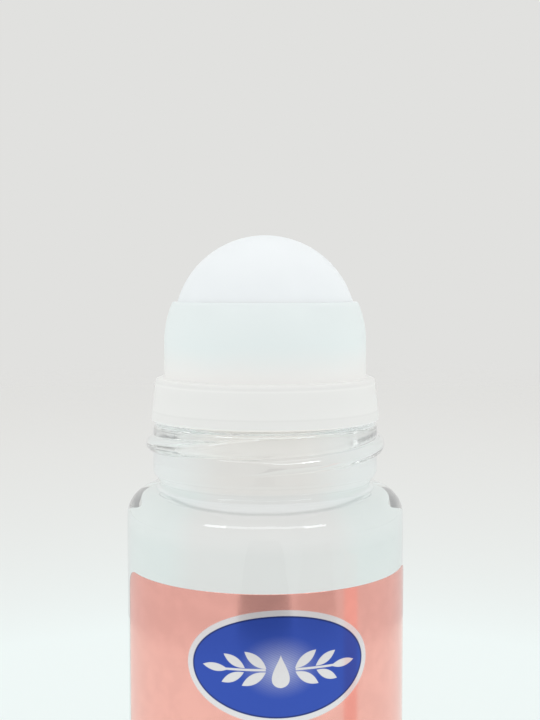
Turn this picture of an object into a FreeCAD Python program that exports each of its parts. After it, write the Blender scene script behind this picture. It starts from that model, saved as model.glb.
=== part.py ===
import FreeCAD, Part
import math
import os
import Sketcher

# Roll on bottle: a thick glass bottle with a two start neck thread, a moulded housing that
# plugs into its mouth and snaps over its lip, a hollow ball held in the housing, a label on
# the front and the lotion inside. Lengths in millimetres, +Z up, the front faces -Y, and the
# origin is the middle of the foot.

# Driving dimensions
SIZES = {
    # Ball, a standard one inch size
    "ball_diameter": 25.4,
    "ball_wall": 1.8,
    "ball_clearance": 0.2,
    "ball_sink": 4.3,
    # Housing collar round the ball
    "collar_wall": 1.15,
    "rim_rise": 3.5,
    "rim_land": 0.48,
    "dome_height": 5.5,
    # Housing flange and skirt over the lip
    "flange_step": 1.25,
    "flange_edge_radius": 0.45,
    "web_thickness": 1.4,
    "skirt_flare": 0.6,
    "skirt_wall": 0.8,
    "skirt_gap": 0.5,
    "skirt_foot_radius": 0.25,
    "skirt_foot_lead": 0.45,
    "ring_lead": 0.8,
    "ring_height": 0.35,
    "snap_clearance": 0.1,
    # Housing plug in the bore
    "plug_clearance": 0.05,
    "plug_wall": 1.1,
    "plug_length": 9.1,
    "plug_chamfer": 0.5,
    # Ball seat, guide ribs and feed slots
    "socket_depth": 5.0,
    "gallery_rise": 1.0,
    "gallery_width": 1.55,
    "seat_land": 1.3,
    "seat_lip": 0.8,
    "seat_slope": 1.0,
    "rib_width": 0.8,
    "rib_top_drop": 1.5,
    "rib_foot": 0.85,
    "rib_root": 0.3,
    "slot_width": 1.6,
    "slot_reach": 0.9,
    # Glass body
    "body_diameter": 38.6,
    "shoulder_height": 57.7,
    "heel_radius": 3.0,
    "foot_inner_diameter": 26.0,
    "pushup_depth": 1.5,
    "wall_thickness": 2.0,
    "floor_thickness": 4.5,
    "inner_heel_radius": 4.0,
    "inner_shoulder_radius": 4.0,
    "flare_radius": 3.0,
    "bore_overlap": 0.5,
    # Glass neck and finish
    "neck_height": 9.0,
    "root_radius": 0.8,
    "undercut_radius": 1.5,
    "undercut_depth": 0.95,
    "ledge_width": 1.25,
    "ledge_edge_radius": 0.5,
    "finish_height": 4.9,
    "finish_wall": 1.8,
    "groove_height": 1.9,
    "bead_depth": 0.45,
    "bead_height": 1.0,
    "lip_lead": 0.6,
    "lip_edge_radius": 0.4,
    # Neck thread
    "thread_depth": 1.0,
    "thread_width": 2.2,
    "thread_lead": 5.0,
    "thread_start_height": 4.55,
    # Label
    "label_width": 53.0,
    "label_height": 40.0,
    "label_foot": 7.25,
    "label_corner_radius": 2.5,
    "label_thickness": 0.1,
    "label_gap": 0.02,
    "label_blank_reach": 3.0,
    # Lotion
    "lotion_headroom": 2.0,
    "lotion_gap": 0.03,
    # Overrun of cutting tools and buried roots
    "overrun": 0.4,
}

# Angles in degrees, seen from above, and counts
THREAD_STARTS = 2
THREAD_SWEEP = 206.0
THREAD_FADE = 28.0
THREAD_FIRST = -115.0
LABEL_FACING = -84.0
RIB_COUNT = 8
SLOT_COUNT = 4
SLOT_TURN = 22.5

# Radii and heights that follow from the driving dimensions
PLACES = {
    # Ball and collar
    "ball_radius": "dims.ball_diameter / 2",
    "ball_void_radius": "ball_radius - dims.ball_wall",
    "socket_radius": "ball_radius + dims.ball_clearance",
    "collar_radius": "socket_radius + dims.collar_wall",
    "rim_inner_radius": "sqrt(socket_radius ^ 2 - dims.rim_rise ^ 2)",
    "rim_outer_radius": "rim_inner_radius + dims.rim_land",
    "dome_span": "collar_radius - rim_outer_radius",
    "dome_radius": "(dome_span ^ 2 + dims.dome_height ^ 2) / (2 * dome_span)",
    # Skirt, bead, bore and plug, from the outside inward
    "skirt_top_radius": "collar_radius + dims.flange_step",
    "skirt_low_radius": "skirt_top_radius + dims.skirt_flare",
    "skirt_inner_radius": "skirt_top_radius - dims.skirt_wall",
    "bead_radius": "skirt_inner_radius - dims.snap_clearance",
    "groove_radius": "bead_radius - dims.bead_depth",
    "ring_radius": "groove_radius + dims.snap_clearance",
    "bore_radius": "bead_radius - dims.finish_wall",
    "plug_radius": "bore_radius - dims.plug_clearance",
    "plug_tip_radius": "plug_radius - dims.plug_chamfer",
    "plug_inner_radius": "plug_radius - dims.plug_wall",
    "lip_outer_radius": "bead_radius - dims.lip_lead",
    "lip_inner_radius": "bore_radius + dims.lip_edge_radius",
    # Neck and shoulder outside
    "neck_radius": "bead_radius + dims.ledge_width",
    "ledge_outer_radius": "neck_radius - dims.ledge_edge_radius",
    "neck_root_radius": "neck_radius - dims.undercut_depth",
    "root_across": "neck_root_radius + dims.root_radius",
    "body_radius": "dims.body_diameter / 2",
    "shoulder_radius": "body_radius - root_across",
    "shoulder_up": "dims.shoulder_height - shoulder_radius",
    "root_up": "dims.shoulder_height + dims.root_radius",
    "turn_radius": "dims.root_radius + dims.undercut_radius",
    "turn_span": "root_across - neck_radius + dims.undercut_radius",
    "turn_rise": "sqrt(turn_radius ^ 2 - turn_span ^ 2)",
    "turn_across": "root_across - turn_span * dims.root_radius / turn_radius",
    "turn_up": "root_up + turn_rise * dims.root_radius / turn_radius",
    "neck_low_up": "root_up + turn_rise",
    "ledge_up": "dims.shoulder_height + dims.neck_height",
    "ledge_side_up": "ledge_up - dims.ledge_edge_radius",
    # Finish
    "bead_low_up": "ledge_up + dims.groove_height",
    "bead_mid_up": "bead_low_up + dims.bead_depth",
    "bead_high_up": "bead_mid_up + dims.bead_height",
    "lip_up": "ledge_up + dims.finish_height",
    "lip_side_up": "lip_up - dims.lip_edge_radius",
    # Inside of the glass
    "inner_radius": "body_radius - dims.wall_thickness",
    "bore_up": "dims.shoulder_height + dims.bore_overlap",
    "flare_across": "bore_radius + dims.flare_radius",
    "inner_shoulder_across": "inner_radius - dims.inner_shoulder_radius",
    "flare_span": "flare_across - inner_shoulder_across",
    "flare_sum": "dims.flare_radius + dims.inner_shoulder_radius",
    "flare_drop": "sqrt(flare_sum ^ 2 - flare_span ^ 2)",
    "inner_shoulder_up": "bore_up - flare_drop",
    "flare_join_across": "flare_across - flare_span * dims.flare_radius / flare_sum",
    "flare_join_up": "bore_up - flare_drop * dims.flare_radius / flare_sum",
    "inner_heel_across": "inner_radius - dims.inner_heel_radius",
    "inner_heel_up": "dims.floor_thickness + dims.inner_heel_radius",
    # Foot
    "heel_across": "body_radius - dims.heel_radius",
    "foot_radius": "dims.foot_inner_diameter / 2",
    "pushup_radius": "(foot_radius ^ 2 + dims.pushup_depth ^ 2) / (2 * dims.pushup_depth)",
    # Thread
    "thread_half": "dims.thread_width / 2",
    "thread_low": "-thread_half",
    "thread_root_radius": "neck_radius - dims.overrun",
    "thread_arc": "(thread_half ^ 2 + dims.thread_depth ^ 2) / (2 * dims.thread_depth)",
    "thread_start_up": "dims.shoulder_height + dims.thread_start_height",
    # Housing heights
    "ball_up": "lip_up + ball_radius - dims.ball_sink",
    "rim_up": "ball_up + dims.rim_rise",
    "dome_up": "rim_up - dims.dome_height",
    "flange_up": "lip_up + dims.web_thickness",
    "flange_side_up": "flange_up - dims.flange_edge_radius",
    "flange_edge_across": "skirt_top_radius - dims.flange_edge_radius",
    "skirt_foot_up": "ledge_up + dims.skirt_gap",
    "skirt_side_up": "skirt_foot_up + dims.skirt_foot_radius",
    "skirt_foot_across": "skirt_low_radius - dims.skirt_foot_radius",
    "skirt_lead_across": "skirt_inner_radius + dims.skirt_foot_lead",
    "ring_low_up": "skirt_foot_up + dims.ring_lead",
    "ring_high_up": "ring_low_up + dims.ring_height",
    "ring_top_up": "ring_high_up + skirt_inner_radius - ring_radius",
    "plug_foot_up": "lip_up - dims.plug_length",
    "plug_side_up": "plug_foot_up + dims.plug_chamfer",
    # Seat
    "seat_outer_radius": "plug_inner_radius - dims.gallery_width",
    "seat_radius": "seat_outer_radius - dims.seat_land",
    "seat_low_up": "ball_up - sqrt(socket_radius ^ 2 - seat_radius ^ 2)",
    "seat_high_up": "ball_up - sqrt(socket_radius ^ 2 - seat_outer_radius ^ 2)",
    "seat_lip_up": "seat_low_up - dims.seat_lip",
    "seat_root_up": "seat_lip_up - dims.seat_slope",
    "gallery_up": "lip_up + dims.gallery_rise",
    "socket_up": "ball_up - dims.socket_depth",
    # Ribs and slots
    "rib_top_up": "ball_up - dims.rib_top_drop",
    "rib_top_radius": "sqrt(socket_radius ^ 2 - dims.rib_top_drop ^ 2)",
    "rib_wall_radius": "socket_radius + dims.rib_root",
    "rib_foot_radius": "plug_inner_radius - dims.rib_foot",
    "rib_foot_up": "ball_up - sqrt(socket_radius ^ 2 - rib_foot_radius ^ 2)",
    "rib_bend_radius": "plug_inner_radius + dims.rib_root",
    "rib_bend_up": "gallery_up - dims.rib_root",
    "rib_buried_up": "seat_high_up",
    "slot_half": "dims.slot_width / 2",
    "slot_low": "-slot_half",
    "slot_near": "seat_radius - dims.overrun",
    "slot_far": "seat_radius + dims.slot_reach",
    # Label
    "label_inner_radius": "body_radius + dims.label_gap",
    "label_outer_radius": "label_inner_radius + dims.label_thickness",
    "label_blank_inner": "label_outer_radius - dims.label_blank_reach",
    "label_blank_outer": "label_outer_radius + dims.label_blank_reach",
    "label_blank_depth": "label_blank_outer - label_blank_inner",
    "label_top": "dims.label_foot + dims.label_height",
    # Lotion
    "lotion_radius": "inner_radius - dims.lotion_gap",
    "lotion_bore_radius": "bore_radius - dims.lotion_gap",
    "lotion_floor_up": "dims.floor_thickness + dims.lotion_gap",
    "lotion_heel_radius": "dims.inner_heel_radius - dims.lotion_gap",
    "lotion_shoulder_radius": "dims.inner_shoulder_radius - dims.lotion_gap",
    "lotion_flare_radius": "dims.flare_radius + dims.lotion_gap",
    "lotion_join_across": "flare_across - flare_span * lotion_flare_radius / flare_sum",
    "lotion_join_up": "bore_up - flare_drop * lotion_flare_radius / flare_sum",
    "lotion_up": "plug_foot_up - dims.lotion_headroom",
}

# Sides on which the centre of an arc lies, walking along the profile
LEFT = 1
RIGHT = -1

doc = FreeCAD.newDocument("roll_on_bottle")


def fill_sheet(name, rows):
    """A sheet with one aliased cell for each row."""
    sheet = doc.addObject("Spreadsheet::Sheet", name)
    for line, (alias, text) in enumerate(rows, start=1):
        sheet.set(f"A{line}", alias)
        sheet.set(f"B{line}", text)
        sheet.setAlias(f"B{line}", alias)
    doc.recompute()
    return sheet


dims = fill_sheet("dims", [(alias, str(value)) for alias, value in SIZES.items()])
places = fill_sheet("places", [(alias, "=" + text) for alias, text in PLACES.items()])


def where(alias):
    """The expression that names a cell of either sheet."""
    return ("dims." if alias in SIZES else "places.") + alias


def size(alias):
    """The number that a cell of either sheet holds."""
    return float((dims if alias in SIZES else places).get(alias))


def arc_between(start, end, radius, side):
    """The shorter arc of a circle from start to end with its centre on one side of the walk."""
    chord = end - start
    middle = (start + end) * 0.5
    across = FreeCAD.Vector(-chord.y, chord.x, 0).normalize()
    reach = math.sqrt(max(radius ** 2 - chord.Length ** 2 / 4, 0))
    centre = middle + across * (reach * side)
    circle = Part.Circle(centre, FreeCAD.Vector(0, 0, 1), radius)
    first, last = (start, end) if side == LEFT else (end, start)
    return Part.ArcOfCircle(circle, circle.parameter(first), circle.parameter(last))


def pin_down(sketch, edge, end, alias, kind, axis):
    """Holds one coordinate of an edge's end at the value of a cell, or on an axis."""
    if alias == "zero":
        sketch.addConstraint(Sketcher.Constraint("PointOnObject", edge, end, axis))
        return
    rule = sketch.addConstraint(Sketcher.Constraint(kind, -1, 1, edge, end, size(alias)))
    sketch.setExpression(f"Constraints[{rule}]", where(alias))


def draw_profile(sketch, corners):
    """Draws a closed profile. Each corner gives the cells of its two coordinates and, for an
    arc to the next corner, the cell of its radius and the side of its centre."""
    spots = []
    for corner in corners:
        values = [0 if alias == "zero" else size(alias) for alias in corner[:2]]
        spots.append(FreeCAD.Vector(values[0], values[1], 0))
    ends = []
    for index, corner in enumerate(corners):
        start = spots[index]
        end = spots[(index + 1) % len(spots)]
        if len(corner) == 2:
            edge = sketch.addGeometry(Part.LineSegment(start, end), False)
            ends.append((edge, 1, 2))
            continue
        radius, side = corner[2:]
        edge = sketch.addGeometry(arc_between(start, end, size(radius), side), False)
        ends.append((edge, 1, 2) if side == LEFT else (edge, 2, 1))
    for index, (edge, first, last) in enumerate(ends):
        following = ends[(index + 1) % len(ends)]
        sketch.addConstraint(Sketcher.Constraint("Coincident", edge, last, following[0], following[1]))
    for corner, (edge, first, last) in zip(corners, ends):
        pin_down(sketch, edge, first, corner[0], "DistanceX", -2)
        pin_down(sketch, edge, first, corner[1], "DistanceY", -1)
        if len(corner) == 4:
            rule = sketch.addConstraint(Sketcher.Constraint("Radius", edge, size(corner[2])))
            sketch.setExpression(f"Constraints[{rule}]", where(corner[2]))


def origin_part(body, role):
    """The plane or axis of a body's own origin with this role."""
    return next(part for part in body.Origin.OriginFeatures if part.Role == role)


def body_sketch(body, name, role, corners):
    """A sketch with one closed profile on an origin plane of a body."""
    sketch = body.newObject("Sketcher::SketchObject", name)
    sketch.AttachmentSupport = (origin_part(body, role), [""])
    sketch.MapMode = "FlatFace"
    draw_profile(sketch, corners)
    doc.recompute()
    return sketch


def turned_body(name, corners):
    """A body turned about Z from a half profile."""
    body = doc.addObject("PartDesign::Body", name)
    sketch = body_sketch(body, name + "_profile", "XZ_Plane", corners)
    turned = body.newObject("PartDesign::Revolution", name + "_turned")
    turned.Profile = sketch
    turned.ReferenceAxis = (sketch, ["V_Axis"])
    turned.Angle = 360
    doc.recompute()
    return body


def repeat_round(body, feature, count):
    """Repeats the last feature of a body round Z."""
    pattern = body.newObject("PartDesign::PolarPattern", feature.Name + "_round")
    pattern.Originals = [feature]
    pattern.Axis = (origin_part(body, "Z_Axis"), [""])
    pattern.Angle = 360
    pattern.Occurrences = count
    body.Tip = pattern
    doc.recompute()


# Glass bottle without its thread
bottle_blank = turned_body("bottle_blank", [
    ("zero", "pushup_depth"),
    ("zero", "floor_thickness"),
    ("inner_heel_across", "floor_thickness", "inner_heel_radius", LEFT),
    ("inner_radius", "inner_heel_up"),
    ("inner_radius", "inner_shoulder_up", "inner_shoulder_radius", LEFT),
    ("flare_join_across", "flare_join_up", "flare_radius", RIGHT),
    ("bore_radius", "bore_up"),
    ("bore_radius", "lip_side_up", "lip_edge_radius", RIGHT),
    ("lip_inner_radius", "lip_up"),
    ("lip_outer_radius", "lip_up"),
    ("bead_radius", "bead_high_up"),
    ("bead_radius", "bead_mid_up"),
    ("groove_radius", "bead_low_up"),
    ("groove_radius", "ledge_up"),
    ("ledge_outer_radius", "ledge_up", "ledge_edge_radius", RIGHT),
    ("neck_radius", "ledge_side_up"),
    ("neck_radius", "neck_low_up", "undercut_radius", RIGHT),
    ("turn_across", "turn_up", "root_radius", LEFT),
    ("root_across", "shoulder_height", "shoulder_radius", RIGHT),
    ("body_radius", "shoulder_up"),
    ("body_radius", "heel_radius", "heel_radius", RIGHT),
    ("heel_across", "zero"),
    ("foot_radius", "zero", "pushup_radius", LEFT),
])


def thread_ridge(index):
    """One start of the neck thread: a rounded ridge swept up a helix, then trimmed by a cylinder
    set off centre toward the middle of the sweep, so that both ends of the ridge fade into the wall."""
    facing = THREAD_FIRST + index * 360 / THREAD_STARTS
    lift = FreeCAD.Vector(0, 0, size("thread_start_up"))
    turn = FreeCAD.Rotation(FreeCAD.Vector(0, 0, 1), facing)
    upright = FreeCAD.Rotation(FreeCAD.Vector(1, 0, 0), 90)

    path = doc.addObject("Part::Helix", f"thread_path_{index}")
    path.setExpression("Pitch", "dims.thread_lead")
    path.setExpression("Radius", "places.neck_radius")
    path.setExpression("Height", f"dims.thread_lead * {THREAD_SWEEP} / 360")
    path.Placement = FreeCAD.Placement(lift, turn)
    path.setExpression("Placement.Base.z", "places.thread_start_up")

    section = doc.addObject("Sketcher::SketchObject", f"thread_section_{index}")
    section.Placement = FreeCAD.Placement(lift, turn.multiply(upright))
    section.setExpression("Placement.Base.z", "places.thread_start_up")
    draw_profile(section, [
        ("thread_root_radius", "thread_low"),
        ("neck_radius", "thread_low", "thread_arc", LEFT),
        ("neck_radius", "thread_half"),
        ("thread_root_radius", "thread_half"),
    ])
    doc.recompute()

    ridge = doc.addObject("Part::Sweep", f"thread_sweep_{index}")
    ridge.Sections = [section]
    ridge.Spine = (path, ["Edge1"])
    ridge.Solid = True
    ridge.Frenet = True

    full = math.cos(math.radians(THREAD_SWEEP / 2 - THREAD_FADE))
    gone = math.cos(math.radians(THREAD_SWEEP / 2))
    middle = math.radians(facing + THREAD_SWEEP / 2)
    offset = f"dims.thread_depth / {full - gone}"
    trim = doc.addObject("Part::Cylinder", f"thread_trim_{index}")
    trim.setExpression("Radius", f"places.neck_radius + dims.thread_depth - {offset} * {full}")
    trim.setExpression("Height", "places.lip_up")
    trim.setExpression("Placement.Base.x", f"{offset} * {math.cos(middle)}")
    trim.setExpression("Placement.Base.y", f"{offset} * {math.sin(middle)}")

    faded = doc.addObject("Part::Common", f"thread_start_{index}")
    faded.Base = ridge
    faded.Tool = trim
    doc.recompute()
    return faded


glass_bottle = doc.addObject("Part::MultiFuse", "glass_bottle")
glass_bottle.Shapes = [bottle_blank] + [thread_ridge(index) for index in range(THREAD_STARTS)]
doc.recompute()

# Housing: collar, flange, skirt with its snap ring, plug and ball seat in one moulding
ball_housing = turned_body("ball_housing", [
    ("rim_inner_radius", "rim_up", "socket_radius", RIGHT),
    ("socket_radius", "ball_up"),
    ("socket_radius", "socket_up"),
    ("plug_inner_radius", "gallery_up"),
    ("seat_outer_radius", "seat_high_up", "socket_radius", RIGHT),
    ("seat_radius", "seat_low_up"),
    ("seat_radius", "seat_lip_up"),
    ("plug_inner_radius", "seat_root_up"),
    ("plug_inner_radius", "plug_foot_up"),
    ("plug_tip_radius", "plug_foot_up"),
    ("plug_radius", "plug_side_up"),
    ("plug_radius", "lip_up"),
    ("skirt_inner_radius", "lip_up"),
    ("skirt_inner_radius", "ring_top_up"),
    ("ring_radius", "ring_high_up"),
    ("ring_radius", "ring_low_up"),
    ("skirt_lead_across", "skirt_foot_up"),
    ("skirt_foot_across", "skirt_foot_up", "skirt_foot_radius", LEFT),
    ("skirt_low_radius", "skirt_side_up"),
    ("skirt_top_radius", "flange_side_up", "flange_edge_radius", LEFT),
    ("flange_edge_across", "flange_up"),
    ("collar_radius", "flange_up"),
    ("collar_radius", "dome_up", "dome_radius", LEFT),
    ("rim_outer_radius", "rim_up"),
])

# Upright ribs in the socket that guide the ball below its widest part
rib_sketch = body_sketch(ball_housing, "rib_profile", "XZ_Plane", [
    ("rib_top_radius", "rib_top_up"),
    ("rib_wall_radius", "rib_top_up"),
    ("rib_wall_radius", "socket_up"),
    ("rib_bend_radius", "rib_bend_up"),
    ("rib_foot_radius", "rib_buried_up"),
    ("rib_foot_radius", "rib_foot_up", "socket_radius", LEFT),
])
rib = ball_housing.newObject("PartDesign::Pad", "rib")
rib.Profile = rib_sketch
rib.setExpression("Length", "dims.rib_width")
rib.SideType = "Symmetric"
doc.recompute()
repeat_round(ball_housing, rib, RIB_COUNT)

# Slots in the seat that feed lotion to the ball
slot_sketch = body_sketch(ball_housing, "slot_profile", "XY_Plane", [
    ("slot_near", "slot_low"),
    ("slot_far", "slot_low"),
    ("slot_far", "slot_half"),
    ("slot_near", "slot_half"),
])
slot_sketch.AttachmentOffset = FreeCAD.Placement(
    FreeCAD.Vector(0, 0, 0), FreeCAD.Rotation(FreeCAD.Vector(0, 0, 1), SLOT_TURN)
)
slot = ball_housing.newObject("PartDesign::Pocket", "slot")
slot.Profile = slot_sketch
slot.Type = "ThroughAll"
slot.Reversed = True
doc.recompute()
repeat_round(ball_housing, slot, SLOT_COUNT)

# Hollow ball
ball_skin = doc.addObject("Part::Sphere", "ball_skin")
ball_skin.setExpression("Radius", "places.ball_radius")
ball_skin.setExpression("Placement.Base.z", "places.ball_up")
ball_void = doc.addObject("Part::Sphere", "ball_void")
ball_void.setExpression("Radius", "places.ball_void_radius")
ball_void.setExpression("Placement.Base.z", "places.ball_up")
roller_ball = doc.addObject("Part::Cut", "roller_ball")
roller_ball.Base = ball_skin
roller_ball.Tool = ball_void

# Label: a thick wrapped blank with rounded corners, of which a thin sheet round the body is kept
label_blank = doc.addObject("PartDesign::Body", "label_blank")
label_sketch = body_sketch(label_blank, "label_section", "XZ_Plane", [
    ("label_blank_inner", "label_foot"),
    ("label_blank_outer", "label_foot"),
    ("label_blank_outer", "label_top"),
    ("label_blank_inner", "label_top"),
])
label_sector = label_blank.newObject("PartDesign::Revolution", "label_sector")
label_sector.Profile = label_sketch
label_sector.ReferenceAxis = (label_sketch, ["V_Axis"])
label_sector.Midplane = True
label_sector.setExpression("Angle", "dims.label_width / places.label_outer_radius * 180 / pi")
doc.recompute()


def edges_of_length(shape, length):
    """The names of a shape's edges of one length."""
    names = []
    for index, edge in enumerate(shape.Edges, start=1):
        if math.isclose(edge.Length, length, rel_tol=0.01):
            names.append(f"Edge{index}")
    return names


label_corners = label_blank.newObject("PartDesign::Fillet", "label_corners")
label_corners.Base = (label_sector, edges_of_length(label_sector.Shape, size("label_blank_depth")))
label_corners.setExpression("Radius", "dims.label_corner_radius")
label_blank.Placement = FreeCAD.Placement(
    FreeCAD.Vector(0, 0, 0), FreeCAD.Rotation(FreeCAD.Vector(0, 0, 1), LABEL_FACING)
)

label_outside = doc.addObject("Part::Cylinder", "label_outside")
label_outside.setExpression("Radius", "places.label_outer_radius")
label_outside.setExpression("Height", "places.lip_up")
label_inside = doc.addObject("Part::Cylinder", "label_inside")
label_inside.setExpression("Radius", "places.label_inner_radius")
label_inside.setExpression("Height", "places.lip_up")
label_round = doc.addObject("Part::Cut", "label_round")
label_round.Base = label_outside
label_round.Tool = label_inside
front_label = doc.addObject("Part::Common", "front_label")
front_label.Base = label_blank
front_label.Tool = label_round
doc.recompute()

# Lotion that fills the bottle into the neck
lotion_fill = turned_body("lotion_fill", [
    ("zero", "lotion_floor_up"),
    ("inner_heel_across", "lotion_floor_up", "lotion_heel_radius", LEFT),
    ("lotion_radius", "inner_heel_up"),
    ("lotion_radius", "inner_shoulder_up", "lotion_shoulder_radius", LEFT),
    ("lotion_join_across", "lotion_join_up", "lotion_flare_radius", RIGHT),
    ("lotion_bore_radius", "bore_up"),
    ("lotion_bore_radius", "lotion_up"),
    ("zero", "lotion_up"),
])

doc.recompute()

# Check every object, then write one file for each piece
for thing in doc.Objects:
    if "Invalid" in thing.State or "Error" in thing.State:
        raise RuntimeError(f"{thing.Name} did not build: {thing.State}")

os.makedirs("parts", exist_ok=True)
for piece in (glass_bottle, ball_housing, roller_ball, front_label, lotion_fill):
    shape = piece.Shape
    if shape.isNull() or not shape.isValid() or len(shape.Solids) != 1:
        raise RuntimeError(f"{piece.Label} is not one sound solid")
    shape.Solids[0].exportStep(os.path.join("parts", piece.Label + ".step"))
    box = shape.BoundBox
    print(piece.Label, round(shape.Volume, 1), [round(v, 2) for v in (box.XMin, box.XMax)],
          [round(v, 2) for v in (box.YMin, box.YMax)], [round(v, 2) for v in (box.ZMin, box.ZMax)])
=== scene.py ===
"""Roll on bottle: the looks of a glass roll on bottle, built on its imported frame.

Lengths are metres in the frame's own axes: +Z up, the front faces -Y, the origin is the middle of the foot.
Profiles and finishes are worked out in millimetres.
"""

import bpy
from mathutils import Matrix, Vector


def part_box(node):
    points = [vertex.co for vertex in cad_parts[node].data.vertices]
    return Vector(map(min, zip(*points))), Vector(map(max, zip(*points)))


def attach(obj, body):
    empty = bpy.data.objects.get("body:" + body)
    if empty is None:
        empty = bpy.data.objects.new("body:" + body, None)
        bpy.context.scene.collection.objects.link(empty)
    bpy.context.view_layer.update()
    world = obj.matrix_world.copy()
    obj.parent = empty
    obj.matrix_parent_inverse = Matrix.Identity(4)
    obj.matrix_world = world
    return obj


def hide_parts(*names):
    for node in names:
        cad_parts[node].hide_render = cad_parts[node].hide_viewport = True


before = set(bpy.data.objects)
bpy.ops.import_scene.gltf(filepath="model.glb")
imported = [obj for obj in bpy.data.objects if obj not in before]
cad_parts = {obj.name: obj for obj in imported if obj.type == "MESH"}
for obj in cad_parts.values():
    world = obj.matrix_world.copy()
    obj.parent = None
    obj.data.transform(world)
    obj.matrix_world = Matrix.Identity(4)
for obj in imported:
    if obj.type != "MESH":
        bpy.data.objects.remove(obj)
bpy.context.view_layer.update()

import math

import bpy
import numpy as np

bl_info = {
    "name": "Roll On Bottle",
    "version": (1, 0, 0),
    "blender": (4, 5, 0),
    "location": "View3D > Sidebar > Roll On",
    "description": "Glass roll on bottle with its housing, ball, label and lotion, and a small studio",
    "category": "Object",
}

MM = 0.001


def tone(red, green, blue):
    """Linear colour of a display colour given from 0 to 255."""
    shown = np.array((red, green, blue)) / 255
    linear = np.where(shown <= 0.04045, shown / 12.92, ((shown + 0.055) / 1.055) ** 2.4)
    return tuple(float(value) for value in linear)


# Places that come from the frame

BALL_LOW, BALL_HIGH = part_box("roller_ball")
LABEL_LOW, LABEL_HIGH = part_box("front_label")
LOTION_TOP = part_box("lotion_fill")[1].z

BALL_RADIUS = (BALL_HIGH.z - BALL_LOW.z) / 2
BALL_UP = (BALL_HIGH.z + BALL_LOW.z) / 2
LABEL_OUTER = max(abs(LABEL_LOW.x), abs(LABEL_LOW.y), LABEL_HIGH.x)


# Fixed sizes of the glass in millimetres, with heights above the foot

FOOT_RING = 13.0
PUSH_UP = 1.5
HEEL_ROUND = 3.0
SHOULDER_ROUND = 3.8
NECK_ROOT = 15.5
ROOT_ROUND = 0.8
SWELL_ROUND = 1.5
SWELL_RISE = 2.66
LEDGE = 66.7
LEDGE_ROUND = 0.5
GROOVE = 13.95
GROOVE_ROUND = 0.15
BEAD = 14.4
BEAD_FOOT = 68.6
BEAD_LOW = 69.05
BEAD_HIGH = 70.05
LIP = 71.6
LIP_EDGE = 13.8
MOUTH_ROUND = 0.4
GLASS_FLOOR = 4.5
HOLLOW_ROUND = 4.0
HOLLOW_SHOULDER = 51.59
FLARE_ROUND = 3.0
FLARE_UP = 58.2

# The thread: its starts, its beginning in millimetres above the shoulder, and its angles in degrees

THREAD_STARTS = 2
THREAD_RISE = 4.55
THREAD_FIRST = -115
THREAD_SWEEP = 206
THREAD_FADE = 28

# Fixed sizes of the housing in millimetres, with heights above the foot or the ball's middle

SOCKET = 12.9
RIM_RISE = 3.5
RIM_WALL = 0.48
RIM_INNER = math.sqrt(SOCKET ** 2 - RIM_RISE ** 2)
SOCKET_DROP = 5.0
SOCKET_FLOOR = 72.6
DOME = 13.731
DOME_DROP = 2.0
FLANGE = 73.0
FLANGE_ROUND = 0.45
COLLAR_ROUND = 0.2
SKIRT_FOOT = 67.2
SKIRT_ROUND = 0.25
SKIRT_INNER = 14.5
CATCH = 14.05
CATCH_LOW = 68.0
CATCH_HIGH = 68.35
LEAD_IN = 14.95
PLUG = 12.55
PLUG_INNER = 11.45
PLUG_FOOT = 62.5
PLUG_CHAMFER = 0.5
SEAT_OUTER = 9.9
SEAT_INNER = 8.6
SEAT_BACK = 68.585
SEAT_BACK_RISE = 1.0
RIB_HIGH = -1.5
RIB_LOW = -8.2
SLOT_REACH = 9.5

# Counts of the ribs and slots, and angles of the first slot and of the skirt's lean in degrees

RIB_COUNT = 8
SLOT_COUNT = 4
SLOT_FIRST = 22.5
SKIRT_LEAN = 6

# How far the lotion is drawn into the glass and how high its film climbs, in millimetres

WET = 0.03
FILM_TOP = 63.2


# Settings that a user would change

def length(name, description, millimetres):
    """A length property with its default in millimetres."""
    return bpy.props.FloatProperty(
        name=name, description=description, default=millimetres * MM, unit="LENGTH", precision=5
    )


def angle(name, description, degrees):
    """An angle property with its default in degrees."""
    return bpy.props.FloatProperty(
        name=name, description=description, default=math.radians(degrees), subtype="ANGLE"
    )


def colour(name, description, shown):
    """A colour property with its default as a display colour from 0 to 255."""
    return bpy.props.FloatVectorProperty(
        name=name, description=description, default=tone(*shown), size=3, subtype="COLOR", min=0, max=1
    )


def number(name, description, value):
    """A plain number that isn't below zero."""
    return bpy.props.FloatProperty(name=name, description=description, default=value, min=0)


def columns_round(piece, count):
    """A number of columns round a piece."""
    return bpy.props.IntProperty(
        name="Columns", description=f"Columns round the {piece}", default=count, min=32
    )


class GlassSettings(bpy.types.PropertyGroup):
    """Sizes and tint of the glass bottle."""

    body_radius: length("Body radius", "Outside radius of the body", 19.3)
    shoulder_height: length("Shoulder height", "Top of the shoulder above the foot", 57.7)
    neck_radius: length("Neck radius", "Radius of the neck wall that carries the thread", 15.65)
    bore_radius: length("Bore radius", "Radius of the mouth", 12.6)
    inner_radius: length("Inner radius", "Inside radius of the body", 17.3)
    thread_depth: length("Thread depth", "Height of the thread ridge", 1.0)
    thread_width: length("Thread width", "Width of the thread ridge", 2.2)
    thread_lead: length("Thread lead", "Rise of one thread start in a full turn", 5.0)
    thread_blend: length("Thread blend", "Softness of the ridge's foot", 0.22)
    tint: colour("Tint", "Colour of the glass", (250, 253, 252))
    columns: columns_round("glass", 272)


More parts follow.
